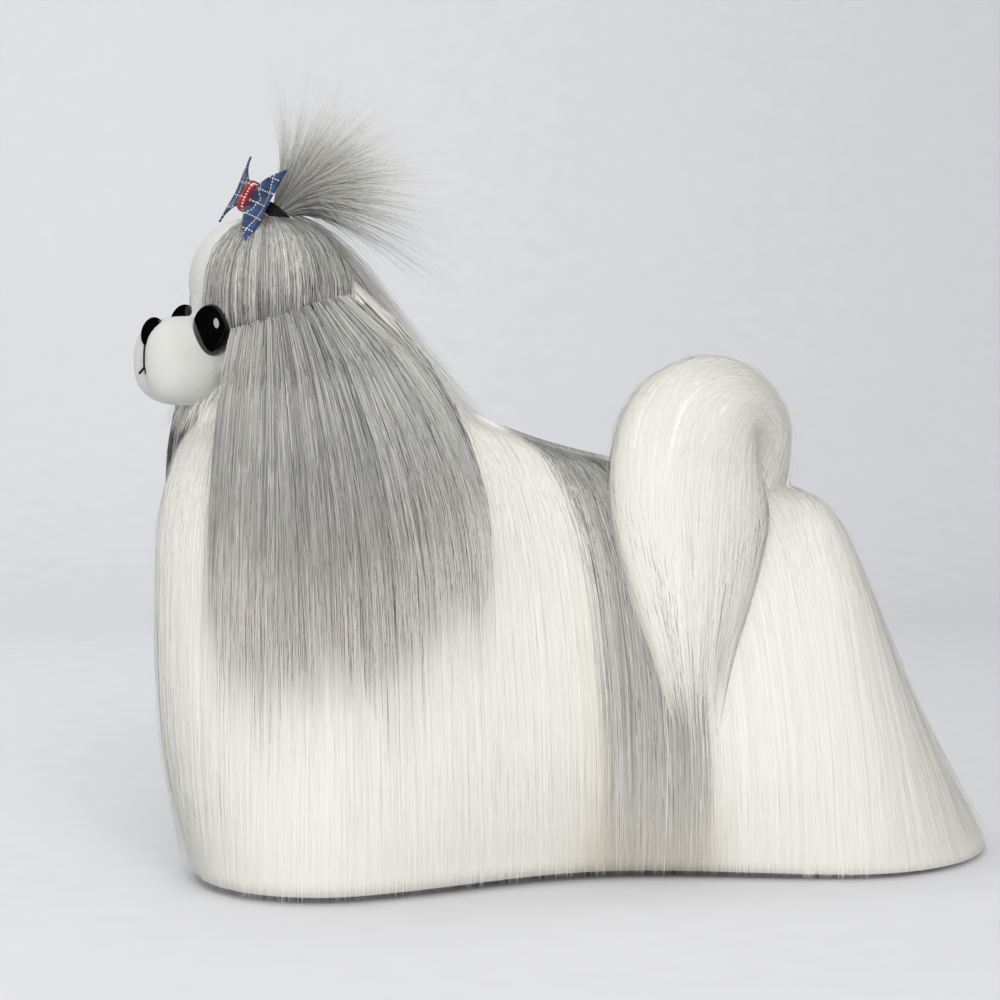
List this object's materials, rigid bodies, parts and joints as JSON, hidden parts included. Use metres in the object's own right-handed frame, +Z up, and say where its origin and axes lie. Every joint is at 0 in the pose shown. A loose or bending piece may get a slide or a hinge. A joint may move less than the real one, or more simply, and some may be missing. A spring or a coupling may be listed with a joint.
{
  "type": "faux fur shih tzu toy dog",
  "caption": "Standing shih tzu toy of long faux fur, with a tied topknot and a bow, hanging ears, a floor-length coat and a plume tail.",
  "frame": {"origin": "on the floor, under the middle of the toy's box", "axes": "+Z up, the dog faces -X and its left side faces -Y"},
  "size_m": [0.3676, 0.138, 0.3399],
  "materials": {
    "white_coat": "long, combed faux fur",
    "grey_coat": "long, combed faux fur",
    "white_face": "short plush",
    "black_plastic": "high gloss",
    "black_thread": "twisted thread",
    "black_elastic": "matte",
    "blue_ribbon": "woven plaid ribbon",
    "red_ribbon": "woven plaid ribbon"
  },
  "bodies": {
    "root": {"head": "grey_coat", "muzzle": "white_face", "nose": "black_plastic", "mouth_stitch": "black_thread", "eye_left": "black_plastic", "eye_right": "black_plastic", "ear_left": "grey_coat", "ear_right": "grey_coat", "topknot": "grey_coat", "topknot_band": "black_elastic", "bow_knot": "red_ribbon", "bow_wing_left": "blue_ribbon", "bow_wing_right": "blue_ribbon", "neck": "white_coat", "chest": "white_coat", "foreleg_left": "white_coat", "foreleg_right": "white_coat", "torso": "grey_coat", "hindleg_left": "white_coat", "hindleg_right": "white_coat", "tail": "white_coat"}
  },
  "joints": []
}
